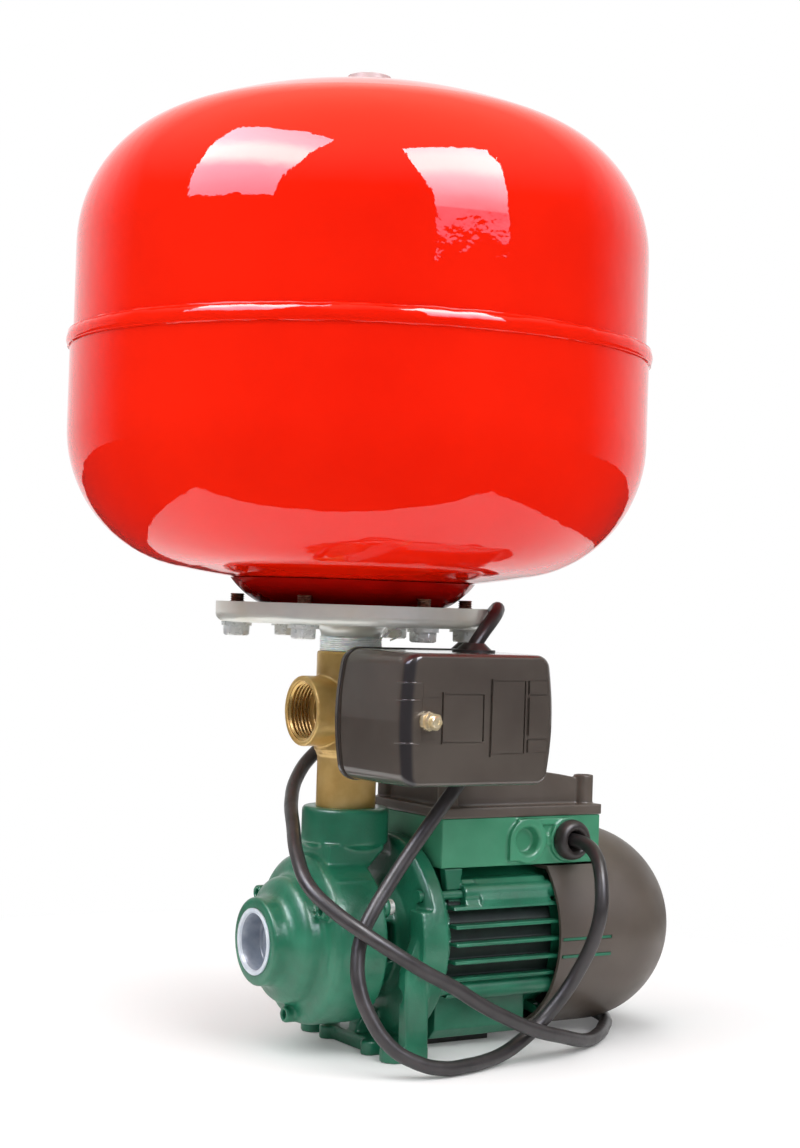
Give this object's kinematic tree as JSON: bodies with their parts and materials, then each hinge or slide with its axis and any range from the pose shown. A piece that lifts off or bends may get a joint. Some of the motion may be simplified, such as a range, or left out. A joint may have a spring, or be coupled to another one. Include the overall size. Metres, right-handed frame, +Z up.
{
  "type": "booster pump set",
  "caption": "Booster pump set: cast peripheral pump and finned motor on one foot, brass five-way fitting, pressure switch with cords and a squat red membrane tank on top.",
  "frame": {"origin": "on the floor plane, under the foot casting, midway between the round ends of its two bolt slots", "axes": "+Z up; the pump shaft runs along X with the suction port facing -X and the motor on +X; the pressure switch faces -Y"},
  "size_m": [0.3863, 0.3898, 0.5562],
  "materials": {
    "tank_red": "gloss",
    "zinc_plate": "satin",
    "zinc_fastener": "satin",
    "brass_cast": "satin",
    "tape_white": "matte",
    "rubber_black": "matte",
    "gland_rubber": "satin",
    "switch_black": "gloss",
    "plain_plastic": "satin",
    "pale_plastic": "satin",
    "plug_white": "satin",
    "acorn_chrome": "polished",
    "casting_green": "satin",
    "box_green": "satin",
    "dark_paint": "satin",
    "cast_grey": "matte",
    "seal_ceramic": "satin",
    "lamination_steel": "matte",
    "shaft_steel": "polished",
    "winding_copper": "satin",
    "capacitor_can": "satin",
    "cord_black": "satin",
    "pin_nickel": "polished"
  },
  "bodies": {
    "pump_set": {"tank_upper_shell": "tank_red", "tank_lower_shell": "tank_red", "tank_neck_ring": "tank_red", "tank_membrane": "rubber_black", "air_valve": "brass_cast", "counter_flange": "zinc_plate", "flange_nipple": "zinc_plate", "thread_tape": "tape_white", "flange_bolts": "zinc_fastener", "flange_washers": "zinc_fastener", "five_way_fitting": "brass_cast", "port_plug": "brass_cast", "switch_connector": "zinc_plate", "switch_base": "zinc_plate", "switch_diaphragm": "rubber_black", "contact_block": "plain_plastic", "switch_springs": "zinc_fastener", "spring_nuts": "zinc_fastener", "cover_nut": "acorn_chrome", "switch_cover": "switch_black", "switch_glands": "gland_rubber", "pump_casing": "casting_green", "casing_screws": "zinc_fastener", "seal_plate": "cast_grey", "seal_seat": "seal_ceramic", "casing_oring": "rubber_black", "motor_bracket": "casting_green", "motor_housing": "casting_green", "stator_core": "lamination_steel", "stator_windings": "winding_copper", "bearing_outer_rings": "shaft_steel", "end_shield": "casting_green", "fan_cover": "dark_paint", "fan_cover_screws": "zinc_fastener", "tie_bolts": "zinc_fastener", "rear_pad": "rubber_black", "terminal_box": "box_green", "terminal_box_lid": "dark_paint", "lid_screws": "zinc_fastener", "run_capacitor": "capacitor_can", "terminal_block": "pale_plastic", "box_grommet": "gland_rubber", "motor_cord": "cord_black", "mains_cord": "cord_black", "mains_coil": "cord_black", "mains_plug": "cord_black", "plug_pins": "pin_nickel"},
    "rotor": {"motor_shaft": "shaft_steel", "rotor_core": "lamination_steel", "impeller": "brass_cast", "cooling_fan": "plain_plastic", "bearing_inner_rings": "shaft_steel", "seal_head": "rubber_black"},
    "plunger": {"switch_plunger": "pale_plastic"},
    "lever": {"contact_lever": "brass_cast"},
    "valve_pin": {"valve_pin": "brass_cast"},
    "valve_cap": {"valve_cap": "pale_plastic"},
    "suction_plug": {"suction_plug": "plug_white"}
  },
  "joints": [
    {"name": "rotor_spin", "type": "hinge", "parent": "pump_set", "child": "rotor", "pos_m": [0, 0, 0.063], "axis": [1, 0, 0], "continuous": true},
    {"name": "lever_tilt", "type": "hinge", "parent": "pump_set", "child": "lever", "pos_m": [-0.03, -0.051, 0.191], "axis": [0, 0, -1], "range_deg": [0, 1.14], "stiffness_Nm_per_rad": 1},
    {"name": "plunger_slide", "type": "slide", "parent": "pump_set", "child": "plunger", "axis": [0, -1, 0], "range_m": [0, 0.0004]},
    {"name": "valve_pin_press", "type": "slide", "parent": "pump_set", "child": "valve_pin", "axis": [0, 0, -1], "range_m": [0, 0.001], "stiffness_N_per_m": 300},
    {"name": "valve_cap_lift", "type": "slide", "parent": "pump_set", "child": "valve_cap", "axis": [0, 0, 1], "range_m": [0, 0.02]},
    {"name": "suction_plug_pull", "type": "slide", "parent": "pump_set", "child": "suction_plug", "axis": [-1, 0, 0], "range_m": [0, 0.022]}
  ],
  "couplings": [
    {"joint": "plunger_slide", "follows": "lever_tilt", "m_per_rad": 0.02}
  ]
}
